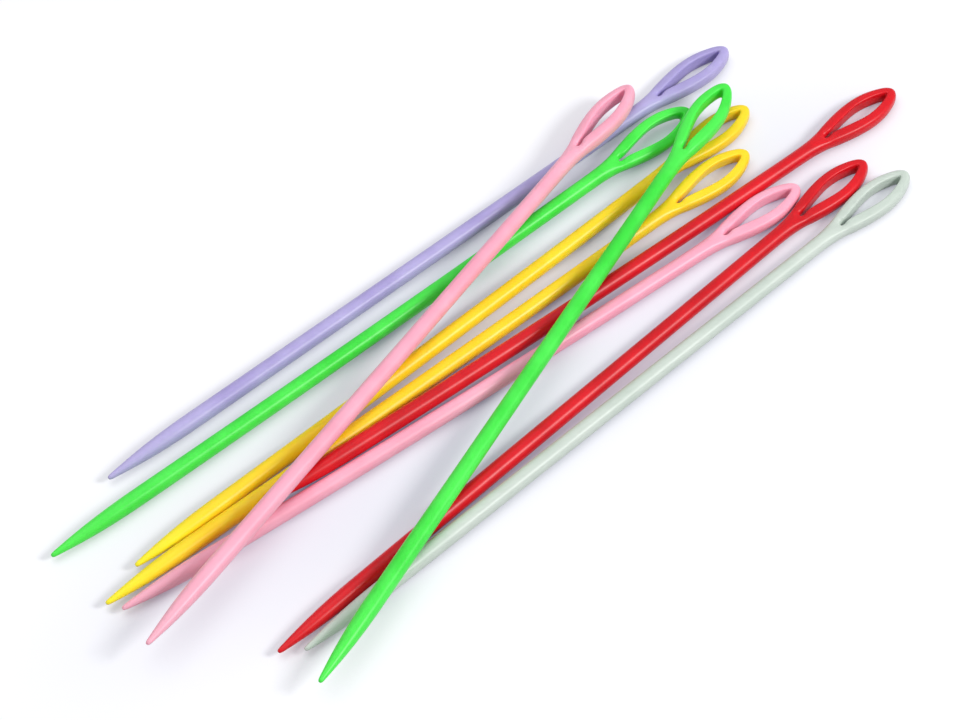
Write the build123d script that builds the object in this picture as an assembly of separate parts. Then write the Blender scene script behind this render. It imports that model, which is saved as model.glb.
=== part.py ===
from build123d import *
import math
import os

# A loose bundle of ten large-eye yarn needles, each moulded in one piece in coloured plastic.
# Each needle is two solids that meet at its neck, the shaft with its point and the eye.
# Eight needles lie side by side on the table and two more lie across them.
# +X runs from the points to the eyes, +Z is up, and Z = 0 is the table.
# The origin is the middle of the bundle's footprint, on the table.

# The needle, all ten alike
needle_length = 150.0        # point to the end of the eye
shaft_diameter = 3.12        # at the thickest, where the point ends
neck_diameter = 2.86         # where the eye begins
point_length = 17.0          # rounded taper of the point
tip_radius = 0.4             # blunt tip

# The eye
eye_length = 24.0            # neck to the outer end
eye_width = 7.0              # over both strands, at the widest
eye_depth = 2.6              # thickness of the strands across the eye's plane
strand_width = 2.05          # each strand, seen square on
eye_widest_share = 0.6375    # neck to the widest place, as a share of the eye's length
eye_root_radius = 0.9        # how the leaf shape starts inside the neck
eye_end_radius = 1.7         # outer end of the leaf shape
opening_start = 5.5          # neck to the sharp end of the opening
opening_root_radius = 0.35   # sharp end of the opening
opening_end_radius = 0.55    # its end under the outer arch
strand_round_share = 0.345   # edge rounding as a share of a strand's width
flank_share = 1.3            # radius of the leaf's long flank, as a share of its length
shaft_end_share = 0.7        # shaft's radius where it ends inside the eye, as a share of the eye's half depth

# How the needles lie
rest_clearance = 0.1         # under a needle that lies across others
point_station_share = -0.2   # cross line near the points, as a share of the needle's length from X = 0
eye_station_share = 0.413    # cross line at the eyes
first_offset_share = 0.155   # first low needle's place at the point line, as a share of the length

# The low needles, in order across the table. Each row holds:
# name, place of the eye's end (share of the length), step from the needle before it at the point line
# (shares of the shaft's diameter), the same step at the eye line (shares of the eye's width and of the
# shaft's diameter), sideways bow at mid length (share of the shaft's diameter), how far the point is wedged
# up off the table (share of the shaft's diameter), roll of the eye in degrees
low_needle_shares = [
    ("purple_needle", 0.570, 0.0, 0.0, 0.35, 0.04, 0.0, -6),
    ("green_low_needle", 0.456, 2.05, 0.5, 1.05, 0.18, 0.0, 20),
    ("yellow_outer_needle", 0.515, 3.12, 0.985, 0.0, 0.2, 0.0, 0),
    ("yellow_inner_needle", 0.459, 1.38, 1.09, 0.0, 0.14, 0.0, 8),
    ("red_long_needle", 0.670, 1.0, 0.5, 0.8, 0.34, 0.36, 0),
    ("pink_low_needle", 0.464, 0.86, 0.5, 0.7, 0.34, 0.0, 0),
    ("red_short_needle", 0.553, 5.8, 0.5, 0.78, 0.0, 0.0, 0),
    ("white_needle", 0.577, 1.22, 0.94, 0.0, 0.0, 0.0, 0),
]

# The two needles that lie across the others, held up by the low needles under them. Each row holds:
# name, place of the eye's end and of the point along X (shares of the length), sideways places of the
# eye's end and of the point (shares of the length), heights of both (shares of the shaft's diameter
# above an eye and a point that lie flat), bow, roll in degrees
top_needle_shares = [
    ("pink_top_needle", 0.408, -0.554, 0.1655, -0.0635, 1.143, 1.42, 0.0, -14),
    ("green_top_needle", 0.510, -0.448, 0.087, -0.223, 1.383, 1.0, 0.0, 0),
]


def arch_radius(run, half, nose_radius):
    """Radius of the arc that starts level at height half and meets a nose circle."""
    reach = run - nose_radius
    return (reach ** 2 + half ** 2 - nose_radius ** 2) / (2 * (half - nose_radius))


def arch_edges(run, half, nose_radius):
    """Half of a pointed arch: level at (0, half), rounded off at (run, 0)."""
    radius = arch_radius(run, half, nose_radius)
    nose_centre = run - nose_radius
    turn = math.atan2(nose_centre, radius - half)
    middle = (radius * math.sin(turn / 2), half - radius + radius * math.cos(turn / 2))
    meet = (radius * math.sin(turn), half - radius + radius * math.cos(turn))
    side = (math.pi / 2 - turn) / 2
    nose_middle = (nose_centre + nose_radius * math.cos(side), nose_radius * math.sin(side))
    return [ThreePointArc((0, half), middle, meet), ThreePointArc(meet, nose_middle, (run, 0))]


def flank_edges(run, half, root_radius, belly_radius):
    """The long back flank, from (0, half) to the root circle that ends at (-run, 0)."""
    root = -(run - root_radius)
    across = math.hypot(root, belly_radius - half)
    lean = math.atan2(half - belly_radius, -root)
    slope = lean + math.asin((belly_radius - root_radius) / across)
    normal = (-math.sin(slope), math.cos(slope))
    meet = (belly_radius * normal[0], half - belly_radius + belly_radius * normal[1])
    half_normal = (-math.sin(slope / 2), math.cos(slope / 2))
    middle = (belly_radius * half_normal[0], half - belly_radius + belly_radius * half_normal[1])
    touch = (root + root_radius * normal[0], root_radius * normal[1])
    turn = math.pi / 2 + slope / 2 + math.pi / 4
    root_middle = (root + root_radius * math.cos(turn), root_radius * math.sin(turn))
    return [
        ThreePointArc((0, half), middle, meet),
        Line(meet, touch),
        ThreePointArc(touch, root_middle, (-run, 0)),
    ]


def leaf(back, front, half, root_radius, end_radius):
    """Leaf outline, widest at X = 0, with its root at -back and its end at +front."""
    flank = flank_edges(back, half, root_radius, flank_share * (back + front))
    upper = Wire(arch_edges(front, half, end_radius) + flank)
    lower = upper.mirror(Plane.XZ)
    return make_face(Wire(upper.edges() + lower.edges()))


def eye(place):
    """The eye: a leaf-shaped loop with rounded strands, its neck at the given plane's origin."""
    eye_widest = eye_widest_share * eye_length
    outer = leaf(
        eye_widest + eye_root_radius, eye_length - eye_widest, eye_width / 2, eye_root_radius, eye_end_radius
    )
    inner = leaf(
        eye_widest - opening_start,
        eye_length - eye_widest - strand_width,
        eye_width / 2 - strand_width,
        opening_root_radius,
        opening_end_radius,
    )
    loop = extrude(outer - inner, eye_depth / 2, both=True)
    rims = loop.edges().group_by(Axis.Z)[0] + loop.edges().group_by(Axis.Z)[-1]
    loop = fillet(rims, strand_round_share * strand_width)
    return place * Pos(eye_widest, 0, 0) * loop


def point(place):
    """The rounded point, turned about X, with its base at the given plane's origin."""
    edges = arch_edges(point_length, shaft_diameter / 2, tip_radius)
    edges.append(Line((point_length, 0), (0, 0)))
    edges.append(Line((0, 0), (0, shaft_diameter / 2)))
    turned = revolve(make_face(Wire(edges)), Axis.X)
    return place * Rot(0, 0, 180) * turned


def bowed_plane(x, bow, roll=0):
    """Cross plane of the bowed needle at x, as a frame whose X runs along the needle."""
    share = x / needle_length
    sideways = -4 * bow * share * (1 - share)
    slope = -4 * bow * (1 - 2 * share) / needle_length
    along = Vector(1, slope, 0)
    level = Plane(origin=(x, sideways, 0), x_dir=along, z_dir=(0, 0, 1))
    return level.rotated((roll, 0, 0))


def shaft(bow):
    """The shaft, lofted through round sections that thin towards the neck and fade inside the eye."""
    neck = needle_length - eye_length
    fade = neck + opening_start - strand_width / 2
    steps = 6
    stations = [point_length + (neck - point_length) * i / steps for i in range(steps + 1)]
    radii = [(shaft_diameter + (neck_diameter - shaft_diameter) * i / steps) / 2 for i in range(steps + 1)]
    stations += [(neck + fade) / 2, fade]
    radii += [(neck_diameter + eye_depth) / 4, shaft_end_share * eye_depth / 2]
    sections = []
    for x, radius in zip(stations, radii):
        place = bowed_plane(x, bow)
        sections.append(Plane(origin=place.origin, x_dir=place.z_dir, z_dir=place.x_dir) * Circle(radius))
    return loft(sections, ruled=True)


def needle(bow, roll):
    """One whole needle along +X, with its tip near the origin."""
    neck = needle_length - eye_length
    return shaft(bow) + point(bowed_plane(point_length, bow)) + eye(bowed_plane(neck, bow, roll))


def eye_height(roll):
    """Height of the eye's middle when its lower strand rests on the table."""
    lean = math.radians(abs(roll))
    rounding = strand_round_share * strand_width
    flat = eye_depth / 2 - rounding
    return (eye_width / 2 - rounding) * math.sin(lean) + flat * math.cos(lean) + rounding


def resting_heights(roll, wedge):
    """Heights of the axis at the tip and at the eye's end, when the shaft and the eye rest on the table."""
    neck = needle_length - eye_length
    base = shaft_diameter / 2 + wedge
    on_neck = (neck_diameter / 2 - base) / (neck - point_length)
    on_eye = (eye_height(roll) - base) / (neck + eye_widest_share * eye_length - point_length)
    on_end = (eye_depth / 2 - base) / (needle_length - point_length)
    slope = max(on_neck, on_eye, on_end)
    return base - slope * point_length, base + slope * (needle_length - point_length)


def placed_halves(bow, roll, tip, end):
    """The shaft and the eye of a needle whose axis runs from tip towards end."""
    along = Vector(*end) - Vector(*tip)
    sideways = Vector(-along.Y, along.X, 0)
    place = Plane(origin=tip, x_dir=along, z_dir=along.cross(sideways))
    neck = bowed_plane(needle_length - eye_length, bow)
    across = Plane(origin=neck.origin, x_dir=neck.z_dir, z_dir=neck.x_dir)
    whole = needle(bow, roll)
    return {
        "shaft": place * split(whole, bisect_by=across, keep=Keep.BOTTOM),
        "eye": place * split(whole, bisect_by=across, keep=Keep.TOP),
    }


def ends_on_line(start, finish, end_x):
    """Tip and eye end of a needle on the plan line through two points, with its end at end_x."""
    slope = (finish[1] - start[1]) / (finish[0] - start[0])
    run = needle_length / math.hypot(1, slope)
    ends = []
    for x in (end_x - run, end_x):
        ends.append((x, start[1] + slope * (x - start[0])))
    return ends


def low_needles():
    """The needles on the table, placed side by side from one edge of the bundle to the other."""
    point_line = point_station_share * needle_length
    eye_line = eye_station_share * needle_length
    point_y = first_offset_share * needle_length
    eye_y = point_y
    made = {}
    for name, end_share, point_step, eye_step, shaft_step, bow_share, wedge_share, roll in low_needle_shares:
        point_y -= point_step * shaft_diameter
        eye_y -= eye_step * eye_width + shaft_step * shaft_diameter
        plan = ends_on_line((point_line, point_y), (eye_line, eye_y), end_share * needle_length)
        heights = resting_heights(roll, wedge_share * shaft_diameter)
        tip = (*plan[0], heights[0])
        end = (*plan[1], heights[1])
        made[name] = placed_halves(bow_share * shaft_diameter, roll, tip, end)
    return made


def top_needles():
    """The two needles across the others, carried by the low needles."""
    made = {}
    for name, end_x, tip_x, end_y, tip_y, end_lift, tip_lift, bow_share, roll in top_needle_shares:
        tip_height = shaft_diameter / 2 + rest_clearance + tip_lift * shaft_diameter
        end_height = eye_depth / 2 + rest_clearance + end_lift * shaft_diameter
        tip = (tip_x * needle_length, tip_y * needle_length, tip_height)
        end = (end_x * needle_length, end_y * needle_length, end_height)
        made[name] = placed_halves(bow_share * shaft_diameter, roll, tip, end)
    return made


needles = {**low_needles(), **top_needles()}
solids = {f"{name}_{half}": body for name, halves in needles.items() for half, body in halves.items()}
boxes = [body.bounding_box() for body in solids.values()]
middle_x = (min(box.min.X for box in boxes) + max(box.max.X for box in boxes)) / 2
middle_y = (min(box.min.Y for box in boxes) + max(box.max.Y for box in boxes)) / 2
table = min(box.min.Z for box in boxes)
os.makedirs("parts", exist_ok=True)
for name, body in solids.items():
    export_step(Pos(-middle_x, -middle_y, -table) * body, f"parts/{name}.step")
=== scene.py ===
import math
import bpy
from mathutils import Matrix, Vector


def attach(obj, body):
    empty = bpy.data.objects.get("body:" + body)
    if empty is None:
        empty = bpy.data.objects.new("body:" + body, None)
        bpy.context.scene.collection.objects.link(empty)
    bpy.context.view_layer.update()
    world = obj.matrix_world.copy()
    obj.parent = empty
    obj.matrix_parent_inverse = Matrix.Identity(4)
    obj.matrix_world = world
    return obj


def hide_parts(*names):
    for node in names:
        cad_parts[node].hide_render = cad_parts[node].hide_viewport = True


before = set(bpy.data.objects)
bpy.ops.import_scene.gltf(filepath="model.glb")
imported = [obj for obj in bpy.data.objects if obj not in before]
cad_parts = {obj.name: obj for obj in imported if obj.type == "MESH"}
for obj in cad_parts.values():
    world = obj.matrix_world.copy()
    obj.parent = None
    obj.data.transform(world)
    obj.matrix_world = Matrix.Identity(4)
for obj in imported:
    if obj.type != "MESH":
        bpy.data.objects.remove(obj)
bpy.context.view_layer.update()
print("Frame loaded with", len(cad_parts), "nodes")

mm = 0.001

# Camera, at the photograph's viewing angle
cameraPlace = {
    "location": (-249.10, -250.03, 428.37),   # mm
    "target": (-8.69, 3.31, 0.0),             # mm
    "lens": 118.07,
    "sensor": 36.0,
    "nearest": 0.01,                          # m, nothing nearer than this is drawn
    "farthest": 20.0,                         # m, and nothing farther than this
}


def addCamera(place):
    bpy.ops.object.camera_add(location=[v * mm for v in place["location"]])
    camera = bpy.context.object
    look = Vector(place["target"]) - Vector(place["location"])
    camera.rotation_euler = look.to_track_quat("-Z", "Y").to_euler()
    camera.data.lens = place["lens"]
    camera.data.sensor_width = place["sensor"]
    camera.data.clip_start = place["nearest"]
    camera.data.clip_end = place["farthest"]
    bpy.context.scene.camera = camera


addCamera(cameraPlace)
print("Camera placed")


# Small modelling helpers
planeTolerance = 0.01 * mm      # a vertex this near a plane lies on it
mergeDistance = 0.001 * mm      # vertices this near each other are one
cornerTolerance = 0.002         # mm, a vertex this near a corner is that corner


def deselectAll():
    bpy.ops.object.select_all(action="DESELECT")


def activate(piece):
    deselectAll()
    piece.select_set(True)
    bpy.context.view_layer.objects.active = piece


def selectWhere(piece, test):
    # edit mode: selects the vertices that pass the test
    bpy.ops.mesh.select_mode(type="VERT")
    bpy.ops.mesh.select_all(action="DESELECT")
    bpy.ops.object.mode_set(mode="OBJECT")
    for vertex in piece.data.vertices:
        vertex.select = test(vertex.co)
    bpy.ops.object.mode_set(mode="EDIT")
    bpy.ops.mesh.select_mode(type="VERT")      # takes the edges between them along


def selectEdges(piece, test):
    # edit mode: selects the edges whose two ends pass the test together
    bpy.ops.mesh.select_mode(type="EDGE")
    bpy.ops.mesh.select_all(action="DESELECT")
    bpy.ops.object.mode_set(mode="OBJECT")
    for edge in piece.data.edges:
        edge.select = test(*[piece.data.vertices[i].co for i in edge.vertices])
    bpy.ops.object.mode_set(mode="EDIT")


def applyModifier(piece, kind, **settings):
    modifier = piece.modifiers.new(kind.title(), kind)
    for key, value in settings.items():
        setattr(modifier, key, value)
    activate(piece)
    bpy.ops.object.modifier_apply(modifier=modifier.name)


# The needle, modelled once along +X with its tip at the origin. Lengths are in mm.
# Only half of it is shaped, from the top of the shaft round one side to the bottom, and then mirrored.
# The smoothing pulls the surface inside these control rings, so they are a little larger than the needle.
needleShape = {
    "length": 150.0,            # of the smoothed needle
    "neck": 126.0,              # where the eye begins
    "pointRings": [             # place along the needle, radius
        (0.0, 0.34), (0.5, 0.56), (1.6, 0.70), (3.2, 0.93), (5.6, 1.23),
        (8.6, 1.525), (12.0, 1.745), (15.6, 1.865), (19.5, 1.878),
    ],
    "shaftRings": [             # place along the needle, radius
        (30.0, 1.862), (48.0, 1.835), (66.0, 1.806), (84.0, 1.778),
        (102.0, 1.75), (114.0, 1.73), (121.0, 1.72),
    ],
    "neckRings": [              # place past the neck, height of the middle, width of the side, its height
        (-1.5, 1.72, 1.50, 0.86), (1.0, 1.70, 1.54, 0.93), (2.7, 1.58, 1.68, 1.06),
        (4.0, 1.31, 1.84, 1.20), (5.0, 0.95, 2.04, 1.30),
    ],
    "strandHalfDepth": 1.34,
    "strandRings": [            # inner edge, then outer edge: place past the neck, distance from the middle
        (5.80, 0.17, 5.68, 2.19), (8.20, 0.52, 7.66, 2.62), (11.00, 1.03, 10.41, 3.18),
        (13.20, 1.42, 13.02, 3.47), (15.55, 1.63, 15.47, 3.59), (17.90, 1.40, 18.11, 3.36),
        (19.58, 1.00, 20.15, 2.83), (20.95, 0.60, 21.99, 2.13), (21.70, 0.24, 23.43, 1.35),
        (21.87, 0.0, 24.33, 0.0),
    ],
    "innerCrease": 0.45,        # how crisp the edges of the opening stay
    "outerCrease": 0.15,        # the same for the outside of the eye
    "smoothing": 3,
}


def extrudeRing(piece, old, new):
    # next half ring round the needle; old and new hold: place, middle height, side width, side height
    oldPlace, oldMiddle, oldSide, oldHeight = old
    place, middle, side, height = new
    bpy.ops.mesh.extrude_region_move(TRANSFORM_OT_translate={"value": ((place - oldPlace) * mm, 0, 0)})
    centre = (place * mm, 0, 0)
    bpy.ops.transform.resize(value=(1, side / oldSide, height / oldHeight), center_override=centre)
    middleScale = middle / oldMiddle / (height / oldHeight)
    selectWhere(piece, lambda co: abs(co.x - centre[0]) < planeTolerance and abs(co.y) < planeTolerance)
    bpy.ops.transform.resize(value=(1, 1, middleScale), center_override=centre)
    selectWhere(piece, lambda co: abs(co.x - centre[0]) < planeTolerance)


def near(co, corner):
    # the corner above the middle height or the one below
    aside = math.hypot(co.x / mm - corner.x, co.y / mm - corner.y)
    return aside < cornerTolerance and abs(abs(co.z / mm) - corner.z) < cornerTolerance


def selectCorners(piece, *corners):
    selectWhere(piece, lambda co: any(near(co, corner) for corner in corners))


def moveCorners(piece, old, new):
    selectCorners(piece, old)
    bpy.ops.transform.translate(value=((new.x - old.x) * mm, (new.y - old.y) * mm, 0))
    bpy.ops.transform.resize(value=(1, 1, new.z / old.z), center_override=(0, 0, 0))


def creaseCorners(piece, corners, crease):
    # the strand's long edges, which join one of its rings to the next, stay a little crisp
    def ringOf(co):
        return next((i for i, corner in enumerate(corners) if near(co, corner)), None)

    def joinsRings(first, second):
        rings = [ringOf(first), ringOf(second)]
        return None not in rings and rings[0] != rings[1]

    selectEdges(piece, joinsRings)
    bpy.ops.transform.edge_crease(value=crease)


def modelNeedle(shape):
    deselectAll()
    tipPlace, tipRadius = shape["pointRings"][0]
    bpy.ops.mesh.primitive_circle_add(      # a hexagon with a corner at the top
        vertices=6, radius=tipRadius * mm, fill_type="NOTHING",
        location=(tipPlace * mm, 0, 0), rotation=(math.radians(90), 0, math.radians(90)),
    )
    piece = bpy.context.object
    piece.name = "needleMaster"
    bpy.ops.object.transform_apply(location=True, rotation=True, scale=True)
    bpy.ops.object.mode_set(mode="EDIT")
    bpy.ops.mesh.select_all(action="SELECT")
    bpy.ops.mesh.bisect(plane_co=(0, 0, 0), plane_no=(0, 1, 0), clear_inner=True, threshold=mergeDistance)
    bpy.ops.mesh.select_all(action="SELECT")
    bpy.ops.mesh.edge_face_add()      # the blunt tip

    rings = []
    # the hexagon's side corner lies 30 degrees above the middle height
    for place, radius in shape["pointRings"] + shape["shaftRings"]:
        rings.append((place, radius, radius * math.cos(math.radians(30)), radius / 2))
    for place, middle, side, height in shape["neckRings"]:
        rings.append((shape["neck"] + place, middle, side, height))
    # all edges but the one on the middle plane
    selectEdges(piece, lambda first, second: max(abs(first.y), abs(second.y)) > planeTolerance)
    for old, new in zip(rings, rings[1:]):
        extrudeRing(piece, old, new)

    # The crotch: the half ring closes across the middle plane and runs on as one strand
    place, middle, side, height = rings[-1]
    selectWhere(piece, lambda co: abs(co.x - place * mm) < planeTolerance and abs(co.y) < planeTolerance)
    bpy.ops.mesh.edge_face_add()
    inner, outer = Vector((place, 0, middle)), Vector((place, side, height))
    strand = []
    for innerPlace, innerSide, outerPlace, outerSide in shape["strandRings"]:
        newInner = Vector((shape["neck"] + innerPlace, innerSide, shape["strandHalfDepth"]))
        newOuter = Vector((shape["neck"] + outerPlace, outerSide, shape["strandHalfDepth"]))
        step = Vector((newInner.x - inner.x, newInner.y - inner.y, 0))
        selectCorners(piece, inner, outer)
        bpy.ops.mesh.extrude_region_move(TRANSFORM_OT_translate={"value": step * mm})
        moveCorners(piece, inner + step, newInner)
        moveCorners(piece, outer + step, newOuter)
        inner, outer = newInner, newOuter
        strand.append((inner, outer))
    creaseCorners(piece, [inner for inner, outer in strand], shape["innerCrease"])
    creaseCorners(piece, [outer for inner, outer in strand], shape["outerCrease"])
    bpy.ops.object.mode_set(mode="OBJECT")

    applyModifier(
        piece, "MIRROR", use_axis=(False, True, False), use_clip=True, use_mirror_merge=True,
        merge_threshold=planeTolerance,
    )
    bpy.ops.object.mode_set(mode="EDIT")
    bpy.ops.mesh.select_all(action="SELECT")
    bpy.ops.mesh.remove_doubles(threshold=mergeDistance)
    bpy.ops.mesh.normals_make_consistent(inside=False)
    bpy.ops.object.mode_set(mode="OBJECT")
    applyModifier(piece, "SUBSURF", levels=shape["smoothing"], render_levels=shape["smoothing"])
    bpy.ops.object.shade_smooth()
    return piece


placeAttribute = "needlePlace"


def recordPlaces(piece):
    # each point keeps its place on the straight needle, for patterns that follow it
    places = piece.data.attributes.new(placeAttribute, "FLOAT_VECTOR", "POINT")
    places.data.foreach_set("vector", [v for vertex in piece.data.vertices for v in vertex.co])


master = modelNeedle(needleShape)
recordPlaces(master)
print("Needle modelled with", len(master.data.polygons), "faces")


# Shader maths as plain expressions
class Socket:
    def __init__(self, tree, socket):
        self.tree = tree
        self.socket = socket

    def node(self, kind, settings=None, values=None, output=0):
        # settings come first, then the values or links of the sockets
        made = self.tree.nodes.new(kind)
        for key, value in (settings or {}).items():
            setattr(made, key, value)
        for key, value in (values or {}).items():
            if isinstance(value, Socket):
                self.tree.links.new(value.socket, made.inputs[key])
            else:
                made.inputs[key].default_value = value
        return Socket(self.tree, made.outputs[output]) if made.outputs else None

    def beside(self, output):
        # another output of the same node
        return Socket(self.tree, self.socket.node.outputs[output])

    def maths(self, operation, *numbers):
        return self.node("ShaderNodeMath", {"operation": operation}, dict(enumerate(numbers)))

    def __add__(self, other):
        return self.maths("ADD", self, other)

    def __radd__(self, other):
        return self.maths("ADD", other, self)

    def __sub__(self, other):
        return self.maths("SUBTRACT", self, other)

    def __rsub__(self, other):
        return self.maths("SUBTRACT", other, self)

    def __mul__(self, other):
        return self.maths("MULTIPLY", self, other)

    def __rmul__(self, other):
        return self.maths("MULTIPLY", other, self)

    def size(self):
        return self.maths("ABSOLUTE", self)

    def larger(self, other):
        return self.maths("MAXIMUM", self, other)

    def between(self, low, high):
        # 0 below low, 1 above high, smooth in between
        return self.node(
            "ShaderNodeMapRange", {"interpolation_type": "SMOOTHSTEP"},
            {"Value": self, "From Min": low, "From Max": high},
        )

    def blend(self, first, second):
        # this socket mixes two colours
        return self.node(
            "ShaderNodeMix", {"data_type": "RGBA"},
            {"Factor": self, "A": first, "B": second}, output="Result",
        )

    def mixShaders(self, share, first, second):
        return self.node("ShaderNodeMixShader", None, {0: share, 1: first, 2: second})


def newMaterial(name):
    material = bpy.data.materials.new(name)
    material.use_nodes = True
    material.node_tree.nodes.clear()
    return material, Socket(material.node_tree, None)


def finishMaterial(start, surface):
    start.node("ShaderNodeOutputMaterial", None, {"Surface": surface})


def shade(red, green, blue):
    # a colour as a picture shows it, 0 to 255, made linear for a shader
    parts = [v / 255 for v in (red, green, blue)]
    return [v / 12.92 if v <= 0.04045 else ((v + 0.055) / 1.055) ** 2.4 for v in parts] + [1.0]


plastics = {       # spread: how far red, green and blue light travel inside, for the translucency
    "lilac": {
        "colour": shade(184, 175, 225), "patches": shade(171, 160, 215), "point": shade(186, 177, 225),
        "translucency": 0.20, "spread": (0.7, 0.5, 1.0),
    },
    "green": {
        "colour": shade(78, 238, 82), "patches": shade(60, 224, 64), "point": shade(84, 242, 84),
        "translucency": 0.25, "spread": (0.3, 1.0, 0.3),
    },
    "yellow": {
        "colour": shade(255, 222, 44), "patches": shade(255, 212, 30), "point": shade(255, 244, 48),
        "translucency": 0.90, "spread": (1.0, 0.35, 0.1),
    },
    "red": {
        "colour": shade(222, 22, 34), "patches": shade(204, 16, 28), "point": shade(222, 24, 34),
        "translucency": 0.15, "spread": (1.0, 0.1, 0.1),
    },
    "pink": {
        "colour": shade(254, 178, 200), "patches": shade(250, 167, 190), "point": shade(248, 180, 198),
        "translucency": 0.35, "spread": (1.0, 0.4, 0.5),
    },
    "white": {
        "colour": shade(205, 215, 206), "patches": shade(197, 209, 199), "point": shade(207, 217, 208),
        "translucency": 0.30, "spread": (0.9, 1.0, 0.9),
    },
}
plasticFinish = {
    "roughness": 0.33,
    "gloss": 0.30,
    "refraction": 1.5,
    "scatterScale": 1.3 * mm,

    "cloudScale": 90.0,                  # cloudy patches in the plastic
    "cloudDetail": 3.0,
    "cloudRaggedness": 0.6,
    "patchEdges": (0.35, 0.68),          # cloud values where a patch begins and is full
    "grainScale": 1500.0,                # fine grain of the surface
    "grainDetail": 4.0,
    "grainRoughness": 0.10,              # how much it changes the roughness
    "streakScale": (60.0, 1400.0, 1400.0),   # streaks that run along the needle
    "streakDetail": 3.0,
    "streakRoughness": 0.12,

    "partingLine": 0.05 * mm,            # half width of the mould's parting line
    "partingEdges": (0.4, 1.6),          # shares of that, where it begins to fade and is gone
    "partingShade": 0.18,                # how much of the patches' colour it has
    "pointLength": 17 * mm,
    "pointEdges": (0.25, 1.2),           # shares of that, where the point's colour fades and is gone
    "pointShade": 0.8,

    "unevenness": 0.26,                  # of the surface, with how deep it is and what it is made of
    "unevenDepth": 0.2 * mm,
    "cloudRelief": 0.35,
    "grainRelief": 0.09,
    "streakRelief": 0.08,
    "partingRelief": 0.12,
}
noiseMiddle = 0.5      # the mean of a noise texture


def plasticMaterial(name, plastic, finish):
    material, start = newMaterial(name)
    place = start.node("ShaderNodeAttribute", {"attribute_name": placeAttribute}, output="Vector")
    along = place.node("ShaderNodeSeparateXYZ", None, {"Vector": place}, output="X")
    height = along.beside("Z")
    world = start.node("ShaderNodeTexCoord", output="Object")
    cloud = start.node(
        "ShaderNodeTexNoise", None,
        {
            "Vector": world, "Scale": finish["cloudScale"], "Detail": finish["cloudDetail"],
            "Roughness": finish["cloudRaggedness"],
        },
    )
    grain = start.node(
        "ShaderNodeTexNoise", None,
        {"Vector": world, "Scale": finish["grainScale"], "Detail": finish["grainDetail"]},
    )
    drawn = start.node("ShaderNodeMapping", None, {"Vector": place, "Scale": finish["streakScale"]})
    streak = start.node(      # the mapping has set its scale
        "ShaderNodeTexNoise", None, {"Vector": drawn, "Scale": 1.0, "Detail": finish["streakDetail"]},
    )
    seam = 1 - height.size().between(*[finish["partingLine"] * share for share in finish["partingEdges"]])
    nearPoint = 1 - along.between(*[finish["pointLength"] * share for share in finish["pointEdges"]])
    patches = cloud.between(*finish["patchEdges"])
    colour = patches.blend(plastic["colour"], plastic["patches"])
    colour = (nearPoint * finish["pointShade"]).blend(colour, plastic["point"])
    colour = (seam * finish["partingShade"]).blend(colour, plastic["patches"])
    roughness = (
        finish["roughness"] + (grain - noiseMiddle) * finish["grainRoughness"]
        + (streak - noiseMiddle) * finish["streakRoughness"]
    )
    relief = (
        cloud * finish["cloudRelief"] + grain * finish["grainRelief"]
        + streak * finish["streakRelief"] + seam * finish["partingRelief"]
    )
    normal = start.node(
        "ShaderNodeBump", None,
        {"Strength": finish["unevenness"], "Distance": finish["unevenDepth"], "Height": relief},
    )
    surface = start.node(
        "ShaderNodeBsdfPrincipled", {"subsurface_method": "BURLEY"},
        {
            "Base Color": colour, "Roughness": roughness, "Normal": normal,
            "IOR": finish["refraction"], "Specular IOR Level": finish["gloss"],
            "Subsurface Weight": plastic["translucency"], "Subsurface Radius": plastic["spread"],
            "Subsurface Scale": finish["scatterScale"],
        },
    )
    finishMaterial(start, surface)
    return material


materials = {
    name: plasticMaterial(name + "Plastic", plastic, plasticFinish) for name, plastic in plastics.items()
}
print("Plastics mixed:", ", ".join(materials))


# The ten needles. Tip, end and bow are in mm, the roll of the eye in degrees.
# The bow is how far the middle of the needle lies to one side.
needles = {
    "purple_needle": {
        "tip": (-73.18, 26.97, 1.56), "end": (76.81, 25.19, 1.59),
        "bow": 0.125, "roll": -6, "colour": "lilac",
    },
    "green_low_needle": {
        "tip": (-90.27, 20.99, 1.47), "end": (59.71, 18.59, 2.27),
        "bow": 0.562, "roll": 20, "colour": "green",
    },
    "yellow_outer_needle": {
        "tip": (-81.42, 9.79, 1.58), "end": (68.56, 12.02, 1.40),
        "bow": 0.624, "roll": 0, "colour": "yellow",
    },
    "yellow_inner_needle": {
        "tip": (-89.81, 7.21, 1.55), "end": (60.16, 4.02, 1.70),
        "bow": 0.437, "roll": 8, "colour": "yellow",
    },
    "red_long_needle": {
        "tip": (-57.98, 4.02, 2.86), "end": (91.81, -3.86, 1.30),
        "bow": 1.061, "roll": 0, "colour": "red",
    },
    "pink_low_needle": {
        "tip": (-88.55, 4.57, 1.58), "end": (60.91, -8.17, 1.40),
        "bow": 1.061, "roll": 0, "colour": "pink",
    },
    "red_short_needle": {
        "tip": (-75.57, -19.51, 1.58), "end": (74.26, -12.46, 1.40),
        "bow": 0.0, "roll": 0, "colour": "red",
    },
    "white_needle": {
        "tip": (-72.12, -22.15, 1.58), "end": (77.86, -19.61, 1.40),
        "bow": 0.0, "roll": 0, "colour": "white",
    },
    "pink_top_needle": {
        "tip": (-91.79, -6.22, 6.09), "end": (52.51, 28.13, 4.97),
        "bow": 0.0, "roll": -14, "colour": "pink",
    },
    "green_top_needle": {
        "tip": (-75.89, -30.14, 4.78), "end": (67.81, 16.36, 5.72),
        "bow": 0.0, "roll": 0, "colour": "green",
    },
}


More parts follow.
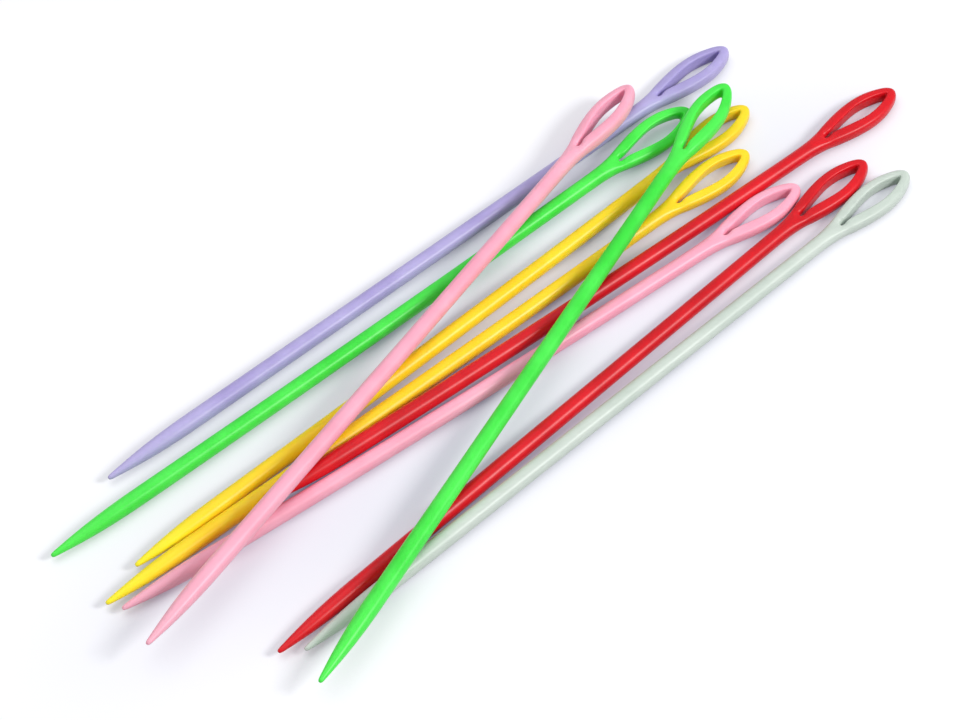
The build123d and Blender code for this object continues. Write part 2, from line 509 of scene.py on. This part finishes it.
def layNeedle(name, facts):
    activate(master)
    bpy.ops.object.duplicate(linked=False)
    piece = bpy.context.object
    piece.name = name
    piece.data.name = name
    piece.rotation_euler = (math.radians(facts["roll"]), 0, 0)
    bpy.ops.object.transform_apply(location=True, rotation=True, scale=True)
    if facts["bow"]:
        bend = 8 * facts["bow"] / needleShape["length"]      # angle of the flat arc that bows this much
        applyModifier(piece, "SIMPLE_DEFORM", deform_method="BEND", deform_axis="Z", angle=bend)
        piece.rotation_euler = (0, 0, -bend / 2)             # its tip and its end lie on the X axis again
        bpy.ops.object.transform_apply(location=True, rotation=True, scale=True)
    tip, end = Vector(facts["tip"]) * mm, Vector(facts["end"]) * mm
    along = (end - tip).normalized()
    side = Vector((-along.y, along.x, 0)).normalized()
    up = along.cross(side)
    turn = Matrix((along, side, up)).transposed().to_4x4()
    piece.matrix_world = Matrix.Translation(tip) @ turn
    bpy.ops.object.transform_apply(location=True, rotation=True, scale=True)
    piece.data.materials.clear()
    piece.data.materials.append(materials[facts["colour"]])
    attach(piece, name.replace("_needle", ""))
    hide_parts(name + "_shaft", name + "_eye")


for name, facts in needles.items():
    layNeedle(name, facts)
bpy.data.objects.remove(master)
print("Needles laid:", len(needles))


# The table, which stays white behind the needles and keeps their shadow
floorLook = {
    "size": 8.0,                          # m
    "height": 0.0,
    "colour": (0.90, 0.90, 0.91, 1.0),
    "bounce": (0.45, 0.45, 0.46, 1.0),    # how pale the needles find it
    "glow": (0.88, 0.89, 1.0, 1.0),       # white that only the camera and reflections see
    "glowStrength": 1.62,
    "glowShare": 0.17,
    "paintedShadeGlow": (0.36, 0.38, 0.64, 1.0),   # the same among the needles, dimmer: painted shade, a grey pool painted on the table where the needles' shade falls
    "paintedShadeLength": 88 * mm,                 # half lengths of that painted shade patch
    "paintedShadeWidth": 25 * mm,
    "paintedShadeEdges": (0.55, 1.45),             # shares of them, where it begins to fade and is gone
}


def addFloor(look):
    deselectAll()
    bpy.ops.mesh.primitive_plane_add(size=look["size"], location=(0, 0, look["height"]))
    floor = bpy.context.object
    floor.name = "table"
    material, start = newMaterial("tableTop")
    camera = start.node("ShaderNodeLightPath", output="Is Camera Ray")
    glossy = camera.beside("Is Glossy Ray")
    through = camera.beside("Is Transmission Ray")
    seen = camera.larger(glossy.larger(through))
    matt = start.node("ShaderNodeBsdfDiffuse", None, {"Color": look["colour"]})
    dull = start.node("ShaderNodeBsdfDiffuse", None, {"Color": look["bounce"]})
    # Among the needles the camera sees a dimmer glow: painted shade, a soft grey pool painted on the table
    # where the needles' shade falls.
    place = start.node("ShaderNodeTexCoord", output="Object")
    patch = start.node(
        "ShaderNodeMapping", None,
        {"Vector": place, "Scale": (1 / look["paintedShadeLength"], 1 / look["paintedShadeWidth"], 1)},
    )
    away = start.node("ShaderNodeVectorMath", {"operation": "LENGTH"}, {0: patch}, output="Value")
    white, paintedShadeEmission = [
        start.node("ShaderNodeEmission", None, {"Color": colour, "Strength": look["glowStrength"]})
        for colour in (look["glow"], look["paintedShadeGlow"])
    ]
    glow = start.mixShaders(away.between(*look["paintedShadeEdges"]), paintedShadeEmission, white)
    bright = start.mixShaders(look["glowShare"], matt, glow)
    finishMaterial(start, start.mixShaders(seen, dull, bright))
    floor.data.materials.append(material)


addFloor(floorLook)
print("Table laid")

# Light: a soft white room, a broad soft light overhead, and a smaller one from the right
roomLight = {
    "colour": (0.98, 0.985, 1.0, 1.0),
    "strength": 0.50,
    "backdrop": (1.0, 1.0, 1.0, 1.0),     # what the camera sees instead
    "backdropStrength": 1.0,
}
softLights = {
    "overheadLight": {"direction": (-0.10, 0.25, 1.0), "distance": 1.0, "size": 1.1, "power": 3.4},
    "sideLight": {"direction": (0.435, -0.654, 0.619), "distance": 1.0, "size": 0.30, "power": 5.5},
}


def lightRoom(room, lights):
    world = bpy.data.worlds.new("room")
    bpy.context.scene.world = world
    world.use_nodes = True
    world.node_tree.nodes.clear()
    start = Socket(world.node_tree, None)
    camera = start.node("ShaderNodeLightPath", output="Is Camera Ray")
    ambient = start.node(
        "ShaderNodeBackground", None, {"Color": room["colour"], "Strength": room["strength"]},
    )
    backdrop = start.node(
        "ShaderNodeBackground", None, {"Color": room["backdrop"], "Strength": room["backdropStrength"]},
    )
    start.node("ShaderNodeOutputWorld", None, {"Surface": start.mixShaders(camera, ambient, backdrop)})
    for name, facts in lights.items():
        direction = Vector(facts["direction"]).normalized()
        bpy.ops.object.light_add(type="AREA", location=direction * facts["distance"])
        lamp = bpy.context.object
        lamp.name = name
        lamp.rotation_euler = (-direction).to_track_quat("-Z", "Y").to_euler()
        lamp.data.shape = "DISK"
        lamp.data.size = facts["size"]
        lamp.data.energy = facts["power"]


lightRoom(roomLight, softLights)
bpy.context.scene.view_settings.view_transform = "Standard"
print("Room lit")
